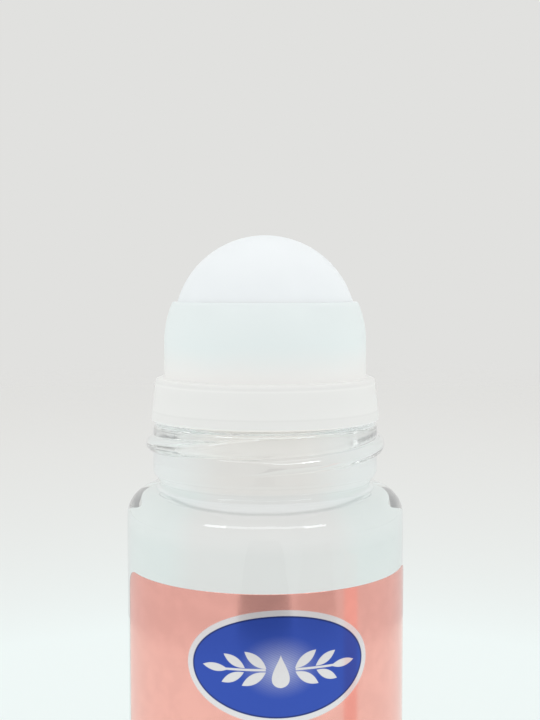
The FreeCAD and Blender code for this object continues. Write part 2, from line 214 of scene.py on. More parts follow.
class HousingSettings(bpy.types.PropertyGroup):
    """Sizes and colours of the moulded housing."""

    collar_radius: length("Collar radius", "Outside radius of the collar", 14.05)
    skirt_top_radius: length("Skirt top radius", "Outside radius of the skirt under the flange", 15.3)
    skirt_low_radius: length("Skirt low radius", "Outside radius of the skirt at its foot", 15.9)
    rim_edge: length("Rim edge", "Rounding of the rim's edges", 0.14)
    rib_width: length("Rib width", "Width of a guide rib in the socket", 0.8)
    slot_width: length("Slot width", "Width of a feed slot in the seat", 1.6)
    body_colour: colour("Plastic", "Colour of the moulding", (239, 249, 249))
    low_colour: colour("Low plastic", "Colour of the moulding over the lip", (246, 247, 245))
    # Painted light: the next two colours are paler colours painted where light would come through the
    # plastic, in the neck, inside the rim and along the skirt's foot; the one aside is cooler, as painted
    # side light.
    painted_through_light_colour: colour("Plug", "Colour of the moulding hidden in the neck and the rim", (255, 249, 245))
    painted_through_light_aside_colour: colour("Plug aside", "Colour of the hidden moulding toward the sides", (255, 255, 255))
    columns: columns_round("housing", 256)


class BallSettings(bpy.types.PropertyGroup):
    """Size and colour of the ball."""

    wall: length("Wall", "Thickness of the ball's shell", 1.8)
    body_colour: colour("Plastic", "Colour of the ball", (244, 251, 254))
    columns: columns_round("ball", 192)


class LabelSettings(bpy.types.PropertyGroup):
    """Sizes and print colours of the label."""

    width: length("Width", "Width of the label along the glass", 53.0)
    corner_radius: length("Corner radius", "Radius of the label's corners", 2.5)
    thickness: length("Thickness", "Thickness of the film", 0.1)
    facing: angle("Facing", "Direction that the label's middle faces, seen from above", -84)
    film_colour: colour("Film", "Colour of the printed film", (255, 187, 175))
    panel_colour: colour("Panel", "Colour of the printed panel", (50, 82, 184))
    glow_colour: colour("Glow", "Colour at the middle of the panel", (190, 194, 226))
    silver_colour: colour("Silver", "Colour of the panel's rim and sprig", (236, 232, 234))
    panel_across: length("Panel width", "Width of the printed panel", 24.6)
    panel_high: length("Panel height", "Height of the printed panel", 14.6)
    panel_up: length("Panel middle", "Height of the panel's middle above the foot", 37.95)
    panel_rim: length("Panel rim", "Width of the panel's rim", 0.75)


class LotionSettings(bpy.types.PropertyGroup):
    """Colours of the lotion."""

    body_colour: colour("Lotion", "Colour of the lotion", (233, 234, 233))
    # Painted light: the lotion's colour aside is painted side light, cooler toward the left and right.
    side_light_colour: colour("Lotion aside", "Colour of the lotion toward the left and right", (231, 238, 237))
    # Painted light: the fold's colour is painted fill light, paler in the fold under the neck's root.
    fold_painted_light_colour: colour("Lotion in the fold", "Colour of the lotion under the neck's root", (246, 250, 252))
    neck_colour: colour("Lotion in the neck", "Colour of the lotion in the neck", (235, 232, 229))
    # Painted light: the neck's colour aside is painted side light, cooler toward the neck's sides.
    neck_side_light_colour: colour("Neck aside", "Colour of the neck's lotion toward the sides", (238, 241, 241))
    columns: columns_round("lotion", 272)


class StudioSettings(bpy.types.PropertyGroup):
    """Camera, light and floor."""

    focal: number("Focal length", "Lens in millimetres", 58.15)
    camera_away: length("Camera distance", "Distance of the camera from the axis", 162.4)
    camera_up: length("Camera height", "Height of the camera above the floor", 86.1)
    camera_aside: length("Camera offset", "Sideways place of the camera", 0.67)
    camera_pitch: angle("Camera pitch", "Downward tilt of the camera", 3.79)
    surround: colour("Surround", "Colour of the background", (225, 225, 223))
    floor_near: colour("Floor", "Colour of the floor near the bottle", (237, 246, 245))
    floor_reach: length("Floor reach", "Distance over which the floor keeps its near colour", 125)
    lamp_colour: colour("Lamp", "Colour of the lamps", (246, 251, 255))
    over_power: number("Lamp power", "Power of the soft lamp overhead in watts", 0.42)
    light_strength: number("Light strength", "Strength of the light from all round", 1.18)
    light_colour: colour("Light", "Colour of the light from all round", (229, 228, 227))
    front_colour: colour("Front light", "Colour of the dimmer light from the front", (220, 216, 217))
    side_light_colour: colour("Side light", "Colour of the brighter light from both sides", (254, 253, 252))


class RollOnSettings(bpy.types.PropertyGroup):
    """All settings of the roll on bottle."""

    glass: bpy.props.PointerProperty(type=GlassSettings)
    housing: bpy.props.PointerProperty(type=HousingSettings)
    ball: bpy.props.PointerProperty(type=BallSettings)
    label: bpy.props.PointerProperty(type=LabelSettings)
    lotion: bpy.props.PointerProperty(type=LotionSettings)
    studio: bpy.props.PointerProperty(type=StudioSettings)


# Surfaces

def arc(across, up, radius, first, last, count=10):
    """Points of a circle round (across, up), from one angle to another in degrees."""
    turn = np.radians(np.linspace(first, last, count))
    return np.column_stack((across + radius * np.cos(turn), up + radius * np.sin(turn)))


def corner(across, up):
    """One point of a profile."""
    return np.array(((across, up),))


def profile(*runs, step):
    """Runs of points joined into one line, with points added so that no stretch is longer than a step."""
    line = np.concatenate(runs)
    stretch = np.hypot(*np.diff(line, axis=0).T)
    counts = np.maximum(1, np.ceil(stretch / step)).astype(int)
    piece = np.repeat(np.arange(len(counts)), counts)
    first = np.cumsum(counts) - counts
    part = (np.arange(counts.sum()) - first[piece]) / counts[piece]
    filled = line[piece] + part[:, None] * (line[piece + 1] - line[piece])
    return np.concatenate((filled, line[-1:]))


def grid_faces(rows, columns, wrap_rows, wrap_columns):
    """Quads of a grid of points, with the last row or column joined to the first where it wraps."""
    row = np.arange(rows if wrap_rows else rows - 1)[:, None]
    column = np.arange(columns if wrap_columns else columns - 1)[None, :]
    up = (row + 1) % rows
    across = (column + 1) % columns
    corners = (row * columns + column, row * columns + across, up * columns + across, up * columns + column)
    return np.stack(np.broadcast_arrays(*corners), axis=-1).reshape(-1, 4)


def angles(columns):
    """Angles of columns spread evenly round the axis."""
    return np.arange(columns) * (2 * np.pi / columns)


def turned_shell(radius, height, closed):
    """A profile carried round the axis: the point in row i and column j is at radius[i, j] and height[i], at
    the angle of the column. A closed profile joins its last row to its first, and an open one ends in a pole
    at each end."""
    rows, columns = radius.shape
    turn = angles(columns)
    up = np.broadcast_to(height[:, None], radius.shape)
    points = np.stack((radius * np.cos(turn), radius * np.sin(turn), up), axis=-1)
    if closed:
        return points.reshape(-1, 3), grid_faces(rows, columns, True, True).tolist()
    inside = points[1:-1].reshape(-1, 3)
    poles = np.array(((0, 0, height[0]), (0, 0, height[-1])))
    quads = grid_faces(rows - 2, columns, False, True)
    here = np.arange(columns)
    after = (here + 1) % columns
    low_pole, high_pole = len(inside), len(inside) + 1
    low_fan = np.column_stack((np.full(columns, low_pole), after, here))
    last = (rows - 3) * columns
    high_fan = np.column_stack((np.full(columns, high_pole), last + here, last + after))
    return np.concatenate((inside, poles)), quads.tolist() + low_fan.tolist() + high_fan.tolist()


def join_shells(*shells):
    """Several shells as one list of points and faces."""
    points, faces, count = [], [], 0
    for spots, polygons in shells:
        points.append(spots)
        faces += [[index + count for index in polygon] for polygon in polygons]
        count += len(spots)
    return np.concatenate(points), faces


def smooth_most(first, second, blend):
    """The larger of two arrays, with the crease between them rounded over the given blend."""
    gap = np.clip(0.5 + 0.5 * (first - second) / blend, 0, 1)
    return second + gap * (first - second) + blend * gap * (1 - gap)


def hollow(glass, wet=0.0):
    """Runs of the hollow's profile in millimetres, from the middle of its floor up to the bore: a round
    corner, a round shoulder and a flare that touches it, all grown by a wetting depth."""
    across = glass.inner_radius / MM - HOLLOW_ROUND
    flare = glass.bore_radius / MM + FLARE_ROUND
    lean = math.degrees(math.atan2(HOLLOW_SHOULDER - FLARE_UP, across - flare)) + 360
    return (
        corner(0, GLASS_FLOOR - wet),
        arc(across, GLASS_FLOOR + HOLLOW_ROUND, HOLLOW_ROUND + wet, -90, 0, 12),
        arc(across, HOLLOW_SHOULDER, HOLLOW_ROUND + wet, 0, lean - 180, 18),
        arc(flare, FLARE_UP, FLARE_ROUND - wet, lean, 180, 16),
    )


def all_round(line, columns):
    """The radii of a profile, the same in every column."""
    return np.repeat(line[:, :1], columns, axis=1)


def link(name, data):
    """Links new data to the scene as an object at the origin."""
    item = bpy.data.objects.new(name, data)
    bpy.context.scene.collection.objects.link(item)
    return item


def add_piece(name, points, faces, finish, body, node):
    """Links a mesh as a piece that rides on a body, takes a slot and stands for a node of the frame."""
    mesh = bpy.data.meshes.new(name)
    mesh.from_pydata(points, [], faces)
    if mesh.validate():
        raise RuntimeError(f"{name} has faces that are not sound")
    mesh.shade_smooth()
    mesh.materials.append(finish)
    piece = link(name, mesh)
    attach(piece, body)
    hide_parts(node)
    return piece


# Shader maths

class Signal:
    """A value on a socket. Arithmetic on it adds Math nodes to its own tree."""

    def __init__(self, finish, socket):
        self.finish = finish
        self.socket = socket

    def math(self, operation, *values):
        """A Math node on values and other signals."""
        return self.finish.add("ShaderNodeMath", {"operation": operation}, dict(enumerate(values)))

    def __add__(self, other):
        return self.math("ADD", self, other)

    def __sub__(self, other):
        return self.math("SUBTRACT", self, other)

    def __rsub__(self, other):
        return self.math("SUBTRACT", other, self)

    def __mul__(self, other):
        return self.math("MULTIPLY", self, other)

    def __truediv__(self, other):
        return self.math("DIVIDE", self, other)

    def __rtruediv__(self, other):
        return self.math("DIVIDE", other, self)

    def __pow__(self, other):
        return self.math("POWER", self, other)

    def __abs__(self):
        return self.math("ABSOLUTE", self)

    __radd__ = __add__
    __rmul__ = __mul__

    def least(self, other):
        return self.math("MINIMUM", self, other)

    def most(self, other):
        return self.math("MAXIMUM", self, other)

    def rise(self, low, high):
        """From 0 at low to 1 at high, eased at both ends."""
        settings = {"interpolation_type": "SMOOTHSTEP"}
        sockets = {"Value": self, "From Min": low, "From Max": high}
        return self.finish.add("ShaderNodeMapRange", settings, sockets)


class Finish:
    """The node tree of a material or of the world."""

    def __init__(self, owner):
        self.owner = owner
        owner.use_nodes = True
        self.tree = owner.node_tree
        self.tree.nodes.clear()

    @classmethod
    def of_material(cls, name):
        """The empty tree of a new material."""
        return cls(bpy.data.materials.new(name))

    def add(self, kind, settings=None, sockets=None, output=0):
        """Adds a node, sets its settings, then its sockets, and gives one of its outputs."""
        node = self.tree.nodes.new(kind)
        for name, value in (settings or {}).items():
            setattr(node, name, value)
        for name, value in (sockets or {}).items():
            if isinstance(value, Signal):
                self.tree.links.new(value.socket, node.inputs[name])
            else:
                node.inputs[name].default_value = value
        return Signal(self, node.outputs[output]) if len(node.outputs) else node

    def spot(self):
        """A point of the object as a vector."""
        return self.add("ShaderNodeTexCoord", output="Object")

    def split(self, vector, count):
        """The first coordinates of a vector."""
        return [self.add("ShaderNodeSeparateXYZ", None, {0: vector}, axis) for axis in range(count)]

    def place(self, spot):
        """The three coordinates of a point of the object, in millimetres."""
        return [value / MM for value in self.split(spot, 3)]

    def noise(self, spot, scale, detail=2.0):
        """Noise with a mean near one half."""
        return self.add("ShaderNodeTexNoise", None, {"Vector": spot, "Scale": scale, "Detail": detail}, "Fac")

    def mix(self, factor, first, second):
        """A colour between two colours."""
        return self.add("ShaderNodeMix", {"data_type": "RGBA"}, {0: factor, 6: first, 7: second}, 2)

    def bump(self, height, strength, distance):
        """A normal bent by a height."""
        sockets = {"Height": height, "Strength": strength, "Distance": distance}
        return self.add("ShaderNodeBump", None, sockets)

    def principled(self, sockets):
        """The general shader with its sockets set."""
        return self.add("ShaderNodeBsdfPrincipled", None, sockets)

    def blend(self, factor, first, second):
        """A shader between two shaders."""
        return self.add("ShaderNodeMixShader", None, {0: factor, 1: first, 2: second})

    def surface(self, shader):
        """Ends the tree in a shader and gives the material."""
        self.add("ShaderNodeOutputMaterial", None, {"Surface": shader})
        return self.owner


def rgba(shade):
    """A colour with full alpha, as sockets take it."""
    return (*shade, 1)


def dimmer(shade, share):
    """A colour dimmed to a share of itself."""
    return tuple(value * share for value in shade)


BLACK = rgba((0, 0, 0))


# Finishes, with places and heights in millimetres

def from_axis(across, back):
    """Distance of a point from the axis."""
    return (across * across + back * back) ** 0.5


def toward_sides(across, back, first, last):
    """From 0 on the front's middle to 1 at the left and right, and back to 0 behind. It rises between two
    sines of the angle from the front."""
    sine = abs(across) / from_axis(across, back).most(0.001)
    return sine.rise(first, last) * (1 - back.rise(-2, 15))


def glass_finish(glass):
    """Clear moulded glass with faint ripples from the mould and slightly duller patches. The mouth is dull,
    and the threaded neck is polished by a coat that gives its ridges their gloss."""
    finish = Finish.of_material("moulded_clear_glass")
    spot = finish.spot()
    across, back, up = finish.place(spot)
    away = from_axis(across, back)
    top = glass.shoulder_height / MM
    ripple = finish.noise(spot, 260, 1.0)
    patches = finish.noise(spot, 900)
    mouth = (1 - away.rise(BEAD + 0.1, BEAD + 0.3)) * up.rise(PLUG_FOOT + 0.3, PLUG_FOOT + 0.8)
    polish = away.rise(NECK_ROOT - 0.2, NECK_ROOT) * up.rise(top + 3.7, top + 4.1)
    below_neck = 1 - up.rise(top - 0.2, top + 0.8)
    return finish.surface(finish.principled({
        "Base Color": rgba(glass.tint),
        "Roughness": patches.rise(0.45, 0.8) * 0.02 + mouth * 0.15,
        "IOR": 1.5,
        "Transmission Weight": 1.0,
        "Coat Weight": polish,
        "Coat IOR": 2.0,
        "Coat Roughness": 0.02,
        "Normal": finish.bump(ripple * below_neck, 0.05, 0.0004),
    }))


def housing_finish(housing):
    """Milky moulded plastic with a fine matt grain, cooler round the ball and warmer over the lip. Painted
    shade darkens the skirt, the flange's top and the hem, with a painted dark ring where the bead shows
    through the skirt and a painted highlight line on the flange's crest. Paler colour is painted where light
    would come through
    the plastic: in the neck, inside the rim and along the skirt's lower edge, cooler toward the sides as
    painted side light."""
    finish = Finish.of_material("milky_moulded_plastic")
    spot = finish.spot()
    across, back, up = finish.place(spot)
    away = from_axis(across, back)
    ball = BALL_UP / MM
    cloud = finish.noise(spot, 120)
    grain = finish.noise(spot, 5200)
    cool = (up + (cloud - 0.5) * 2.0).rise(FLANGE + 0.5, FLANGE + 5.5)
    shade = finish.mix(cool, rgba(housing.low_colour), rgba(housing.body_colour))

    # Painted shade: a darker skirt, flange top and hem, and a dark ring where the bead inside shows through
    # the skirt; the flange's crest gets a painted highlight line.
    crest_up = FLANGE - 0.8
    ring_up = SKIRT_FOOT + 1.38
    skirt = 1 - up.rise(FLANGE - 0.1, FLANGE + 0.3)
    flange = up.rise(crest_up, FLANGE - 0.4) * (1 - up.rise(FLANGE - 0.15, FLANGE))
    hem = 1 - up.rise(SKIRT_FOOT + 1.2, SKIRT_FOOT + 1.5)
    ring = 1 - abs(up - ring_up).rise(0.06, 0.18)
    crest = 1 - abs(up - crest_up).rise(0.06, 0.16)
    painted_shade_and_highlight = skirt * 0.055 + flange * 0.05 + hem * 0.03 + ring * 0.035 - crest * 0.025
    shade = finish.mix(painted_shade_and_highlight.most(0), shade, BLACK)

    # Painted light: the neck's hidden moulding, the inside of the rim and the skirt's foot are painted paler,
    # as light through the plastic, and cooler toward the left and right, as painted side light.
    hidden = (1 - away.rise(LEAD_IN + 0.01, LEAD_IN + 0.09)) * (1 - up.rise(LIP + 0.1, LIP + 0.3))
    rim = (1 - away.rise(RIM_INNER + 0.08, RIM_INNER + 0.18)) * up.rise(ball + 1.5, ball + 2.5)
    edge = 1 - up.rise(SKIRT_FOOT + 0.05, SKIRT_FOOT + 0.3)
    aside = toward_sides(across, back, 0.3, 0.95)
    pale = finish.mix(aside, rgba(housing.painted_through_light_colour), rgba(housing.painted_through_light_aside_colour))
    return finish.surface(finish.principled({
        "Base Color": finish.mix(hidden.most(rim).most(edge), shade, pale),
        "Roughness": 0.42 + grain * 0.12,
        "IOR": 1.49,
        "Coat Weight": up.rise(SKIRT_FOOT - 0.2, SKIRT_FOOT) * 0.08,
        "Coat Roughness": 0.12,
        "Subsurface Weight": 0.2,
        "Subsurface Radius": (1.0, 1.0, 1.0),
        "Subsurface Scale": 0.003,
        "Normal": finish.bump(grain, 0.05, 0.00005),
    }))


def ball_finish(ball):
    """Smooth white plastic with a faint cloudiness and a fine polish grain."""
    finish = Finish.of_material("white_ball_plastic")
    spot = finish.spot()
    cloud = finish.noise(spot, 90)
    grain = finish.noise(spot, 6000)
    dull = dimmer(ball.body_colour, 0.97)
    return finish.surface(finish.principled({
        "Base Color": finish.mix(cloud.rise(0.3, 0.7), rgba(ball.body_colour), rgba(dull)),
        "Roughness": 0.46 + grain * 0.1,
        "IOR": 1.49,
        "Subsurface Weight": 0.25,
        "Subsurface Radius": (1.0, 1.0, 1.0),
        "Subsurface Scale": 0.003,
        "Normal": finish.bump(grain, 0.04, 0.00004),
    }))


def lotion_finish(lotion, top):
    """Milky lotion with soft clouds where it lies thinner on the glass and warmer in the neck. Painted side
    light makes it cooler toward the left and right, on the body and on the neck, and painted fill light makes
    it paler in the fold under the neck's root. Heights follow the top of the shoulder. Air trapped under the
    back of the shoulder, between a leaning plane and a level ring, makes it mirror at slanting looks."""
    finish = Finish.of_material("milky_lotion")
    spot = finish.spot()
    across, back, up = finish.place(spot)
    cloud = finish.noise(spot, 70, 3.0)
    # Painted side light: cooler toward the left and right, on the body and on the neck.
    aside = toward_sides(across, back, 0.46, 0.73)
    neck_aside = toward_sides(across, back, 0.3, 0.95)
    thin = (1 - cloud.rise(0.3, 0.7)) * 0.03
    # Painted fill light: paler in the fold under the neck's root, where shade falls.
    fold = up.rise(top - 2.5, top - 2.1) * (1 - up.rise(top - 1.7, top - 0.7)) * 0.5
    shade = finish.mix(aside, rgba(lotion.body_colour), rgba(lotion.side_light_colour))
    shade = finish.mix(thin, shade, BLACK)
    shade = finish.mix(fold, shade, rgba(lotion.fold_painted_light_colour))
    neck = finish.mix(neck_aside, rgba(lotion.neck_colour), rgba(lotion.neck_side_light_colour))
    milk = finish.principled({
        "Base Color": finish.mix(up.rise(top - 0.2, top + 2.8), shade, neck),
        "Roughness": 0.5 + cloud * 0.1,
        "IOR": 1.36,
    })
    air_lean = 0.142
    below = (top - 3.6 - up - back * air_lean).most(0)
    above = (up - (top - 3.56)).most(0)
    air = 1 - ((below * below + above * above) ** 0.5).rise(0.41, 0.45)
    mirror = finish.add("ShaderNodeBsdfAnisotropic", None, {"Color": (1, 1, 1, 1), "Roughness": 0.0})
    slant = finish.add("ShaderNodeFresnel", None, {"IOR": 0.69})
    return finish.surface(finish.blend(slant * air, milk, mirror))


# Leaves of the sprig's right side: middle, lean in degrees, half length and half breadth

LEAVES = (
    ((3.2, 0.9), 38, 1.75, 0.62), ((3.4, -1.5), -30, 1.75, 0.62),
    ((5.9, 0.75), 32, 1.6, 0.55), ((6.1, -1.35), -26, 1.6, 0.55),
    ((8.4, -0.2), 6, 1.7, 0.5),
)


def leaf(across, up, place, lean, long, wide):
    """How far inside a leaf a point lies, and 0 at its edge: a lens that is widest at its middle, set at a
    place and leaning by an angle in degrees."""
    cosine, sine = math.cos(math.radians(lean)), math.sin(math.radians(lean))
    over, above = across - place[0], up - place[1]
    along = over * cosine + above * sine
    aside = above * cosine - over * sine
    breadth = (1 - (along / long) * (along / long)) * wide
    return breadth - abs(aside)


def label_finish(label):
    """Satin printed film with an oval panel: a rim, a light middle crossed by fine lines, and a mirrored
    sprig of leaves round a drop. Places on the print are measured from the panel's middle."""
    finish = Finish.of_material("satin_printed_film")
    spot = finish.spot()
    sheet = finish.add("ShaderNodeUVMap", {"uv_map": "sheet"})
    u, v = finish.split(sheet, 2)
    across = (u - 0.5) * (label.width / MM)
    up = v * ((LABEL_HIGH.z - LABEL_LOW.z) / MM) + (LABEL_LOW.z - label.panel_up) / MM
    half_across = label.panel_across / MM / 2
    half_high = label.panel_high / MM / 2
    rim = label.panel_rim / MM
    hairline_width = 0.22
    soft = 0.05

    def inked(depth):
        """From 0 outside a printed shape to 1 inside it, with a soft edge."""
        return depth.rise(-soft, soft)

    def oval(inset):
        """Distance inside an oval that is smaller than the panel by the inset, about in millimetres."""
        over = across / (half_across - inset)
        above = up / (half_high - inset)
        return (1 - (over * over + above * above) ** 0.5) * (half_high - inset)

    mirrored = abs(across)
    stem_up, stem_half, stem_first, stem_last = -0.32, 0.14, 1.9, 7.0
    stem = (stem_half - abs(up - stem_up)).least(mirrored - stem_first).least(stem_last - mirrored)
    drop_up, drop_high, drop_wide = -0.35, 2.3, 0.95
    tall = (up - drop_up) / drop_high
    waist = (1 - (tall * tall).least(1)) ** 0.5 * (1 - tall) * drop_wide
    sprig = stem.most(waist - mirrored - 2 * soft)
    for place, lean, long, wide in LEAVES:
        sprig = sprig.most(leaf(mirrored, up, place, lean, long, wide))

    glow_across, glow_high = 5.6, 4.2
    line_lean, line_pitch = 0.55, 21.0
    over, above = across / glow_across, up / glow_high
    wave = (up + across * line_lean) * line_pitch
    lines = finish.add("ShaderNodeMath", {"operation": "SINE"}, {0: wave})
    glow = (1 - (over * over + above * above) ** 0.5).most(0) ** 1.4 * (0.86 + lines * 0.14)
    grain = finish.noise(spot, 3800)
    fleck = finish.noise(spot, 450)

    silver = rgba(label.silver_colour)
    panel = inked(oval(0))
    blue = finish.mix(glow.least(1), rgba(label.panel_colour), rgba(label.glow_colour))
    blue = finish.mix(inked(oval(rim + hairline_width)), rgba(dimmer(label.panel_colour, 0.45)), blue)
    blue = finish.mix(inked(sprig), blue, silver)
    printed = finish.mix(inked(oval(rim)), silver, blue)
    deep = rgba(dimmer(label.film_colour, 0.95))
    film = finish.mix(fleck.rise(0.35, 0.65), deep, rgba(label.film_colour))
    return finish.surface(finish.principled({
        "Base Color": finish.mix(panel, film, printed),
        "Metallic": 0.8 - panel * 0.2,
        "Roughness": 0.11 + grain * 0.06,
        "Coat Weight": 0.15,
        "Coat Roughness": 0.15,
        "Normal": finish.bump(grain, 0.05, 0.00003),
    }))


# Pieces

class ROLLON_OT_glass(bpy.types.Operator):
    """Builds the glass bottle with its two start thread"""

    bl_idname = "rollon.glass"
    bl_label = "Glass bottle"

    def execute(self, context):
        glass = context.scene.roll_on.glass
        body = glass.body_radius / MM
        neck = glass.neck_radius / MM
        bore = glass.bore_radius / MM
        top = glass.shoulder_height / MM
        bulge = (FOOT_RING ** 2 + PUSH_UP ** 2) / (2 * PUSH_UP)
        bulge_end = math.degrees(math.acos(FOOT_RING / bulge))
        swell = neck - SWELL_ROUND
        sunk = math.degrees(math.atan2(SWELL_RISE - ROOT_ROUND, swell - NECK_ROOT))
        outside = profile(
            arc(0, PUSH_UP - bulge, bulge, 90, bulge_end, 12),
            arc(body - HEEL_ROUND, HEEL_ROUND, HEEL_ROUND, -90, 0, 16),
            arc(NECK_ROOT, top - SHOULDER_ROUND, SHOULDER_ROUND, 0, 90, 28),
            step=1.6,
        )
        neck_run = profile(
            arc(NECK_ROOT, top + ROOT_ROUND, ROOT_ROUND, 268, sunk, 14),
            arc(swell, top + SWELL_RISE, SWELL_ROUND, sunk - 180, 0, 12),
            arc(neck - LEDGE_ROUND, LEDGE - LEDGE_ROUND, LEDGE_ROUND, 0, 90, 8),
            step=0.07,
        )
        lip_run = profile(
            arc(GROOVE + GROOVE_ROUND, LEDGE + GROOVE_ROUND, GROOVE_ROUND, 270, 180, 5),
            corner(GROOVE, BEAD_FOOT),
            corner(BEAD, BEAD_LOW),
            corner(BEAD, BEAD_HIGH),
            corner(LIP_EDGE, LIP),
            arc(bore + MOUTH_ROUND, LIP - MOUTH_ROUND, MOUTH_ROUND, 90, 180, 8),
            step=0.6,
        )
        downward = [run[::-1] for run in reversed(hollow(glass))]
        inside = profile(corner(bore, LIP - 2 * MOUTH_ROUND), *downward, step=1.6)
        line = np.concatenate((outside, neck_run, lip_run, inside)) * MM
        radius = all_round(line, glass.columns)
        height = line[:, 1]
        threaded = slice(len(outside), len(outside) + len(neck_run))
        for start in range(THREAD_STARTS):
            facing = math.radians(THREAD_FIRST + start * 360 / THREAD_STARTS)
            ridge = self.ridge(glass, height[threaded], angles(glass.columns), facing)
            radius[threaded] = smooth_most(ridge, radius[threaded], glass.thread_blend)
        points, faces = turned_shell(radius, height, False)
        finish = glass_finish(glass)
        piece = add_piece("bottle_glass", points, faces, finish, "bottle", "glass_bottle")
        piece.visible_shadow = False
        piece.visible_diffuse = False
        return {"FINISHED"}

    @staticmethod
    def ridge(glass, height, turn, facing):
        """Radius of one thread start over heights and angles: the ridge's middle climbs by the lead in a full
        turn, its section is an arc round that middle, and a cylinder set off centre toward the middle of the
        sweep trims it, so that both ends fade into the wall."""
        sweep = math.radians(THREAD_SWEEP)
        fade = math.radians(THREAD_FADE)
        before = 0.5
        along = np.mod(turn - facing + before, 2 * np.pi) - before
        half, deep = glass.thread_width / 2, glass.thread_depth
        bend = (half ** 2 + deep ** 2) / (2 * deep)
        first = glass.shoulder_height + THREAD_RISE * MM
        middle = first + glass.thread_lead * along / (2 * np.pi)
        off = (height[:, None] - middle[None, :]) / bend
        round_top = np.sqrt(np.maximum(1 - off ** 2, 0)) - np.maximum(np.abs(off) - 1, 0) * 2
        crest = glass.neck_radius + deep - bend + bend * round_top
        full, gone = math.cos(sweep / 2 - fade), math.cos(sweep / 2)
        offset = deep / (full - gone)
        trim = glass.neck_radius + deep - offset * full
        lean = along - sweep / 2
        limit = offset * np.cos(lean) + np.sqrt(trim ** 2 - (offset * np.sin(lean)) ** 2)
        return -smooth_most(-crest, -np.broadcast_to(limit[None, :], crest.shape), glass.thread_blend)


class ROLLON_OT_housing(bpy.types.Operator):
    """Builds the moulded housing that holds the ball"""

    bl_idname = "rollon.housing"
    bl_label = "Ball housing"

    def execute(self, context):
        housing = context.scene.roll_on.housing
        collar = housing.collar_radius / MM
        top = housing.skirt_top_radius / MM
        low = housing.skirt_low_radius / MM
        edge = housing.rim_edge / MM
        ball = BALL_UP / MM
        rim = ball + RIM_RISE
        dome_end = math.degrees(math.asin((RIM_RISE + DOME_DROP) / DOME))
        socket_start = math.degrees(math.asin(RIM_RISE / SOCKET))
        seat_start, seat_end = [-math.degrees(math.acos(seat / SOCKET)) for seat in (SEAT_OUTER, SEAT_INNER)]
        catch_depth = SKIRT_INNER - CATCH
        line = profile(
            corner(PLUG_INNER, PLUG_FOOT),
            corner(PLUG - PLUG_CHAMFER, PLUG_FOOT),
            corner(PLUG, PLUG_FOOT + PLUG_CHAMFER),
            corner(PLUG, LIP),
            corner(SKIRT_INNER, LIP),
            corner(SKIRT_INNER, CATCH_HIGH + catch_depth),
            corner(CATCH, CATCH_HIGH),
            corner(CATCH, CATCH_LOW),
            corner(LEAD_IN, SKIRT_FOOT),
            arc(low - SKIRT_ROUND, SKIRT_FOOT + SKIRT_ROUND, SKIRT_ROUND, -90, SKIRT_LEAN, 7),
            arc(top - FLANGE_ROUND, FLANGE - FLANGE_ROUND, FLANGE_ROUND, SKIRT_LEAN, 90, 9),
            arc(collar + COLLAR_ROUND, FLANGE + COLLAR_ROUND, COLLAR_ROUND, 270, 180, 6),
            arc(collar - DOME, ball - DOME_DROP, DOME, 0, dome_end - 0.6, 18),
            arc(RIM_INNER + RIM_WALL - edge, rim - edge, edge, 22, 90, 6),
            arc(RIM_INNER + edge, rim - edge, edge, 90, 190, 6),
            arc(0, ball, SOCKET, socket_start - 0.8, 0, 8),
            corner(SOCKET, ball - SOCKET_DROP),
            corner(PLUG_INNER, SOCKET_FLOOR),
            arc(0, ball, SOCKET, seat_start, seat_end, 6),
            corner(SEAT_INNER, SEAT_BACK + SEAT_BACK_RISE),
            corner(PLUG_INNER, SEAT_BACK),
            corner(PLUG_INNER, PLUG_FOOT + 0.4),
            step=0.5,
        ) * MM
        radius = all_round(line, housing.columns)
        height = line[:, 1]
        deep = height[:, None] / MM - ball
        bowl = np.sqrt(np.maximum(SOCKET ** 2 - deep ** 2, 0)) * MM
        inside = (np.arange(len(line)) > np.argmax(height))[:, None]

        def near(count, first, width):
            """Whether a point lies within a width of one of the lines spread evenly round the axis."""
            spread = 2 * np.pi / count
            off = np.mod(angles(housing.columns)[None, :] - first + spread / 2, spread) - spread / 2
            return np.abs(off) * radius < width / 2

        ribs = inside & near(RIB_COUNT, 0, housing.rib_width) & (deep < RIB_HIGH) & (deep > RIB_LOW)
        radius = np.where(ribs, np.minimum(radius, bowl), radius)
        reach = SLOT_REACH * MM
        facing = math.radians(SLOT_FIRST)
        slots = inside & near(SLOT_COUNT, facing, housing.slot_width) & (radius < reach)
        radius = np.where(slots, reach, radius)
        points, faces = turned_shell(radius, height, True)
        finish = housing_finish(housing)
        add_piece("housing_moulding", points, faces, finish, "bottle", "ball_housing")
        return {"FINISHED"}


class ROLLON_OT_ball(bpy.types.Operator):
    """Builds the hollow ball"""

    bl_idname = "rollon.ball"
    bl_label = "Ball"

    def execute(self, context):
        ball = context.scene.roll_on.ball
        shells = []
        for radius, first in ((BALL_RADIUS, -90), (BALL_RADIUS - ball.wall, 90)):
            line = arc(0, BALL_UP, radius, first, -first, ball.columns // 2 + 1)
            shells.append(turned_shell(all_round(line, ball.columns), line[:, 1], False))
        points, faces = join_shells(*shells)
        add_piece("rolling_ball", points, faces, ball_finish(ball), "ball", "roller_ball")
        return {"FINISHED"}


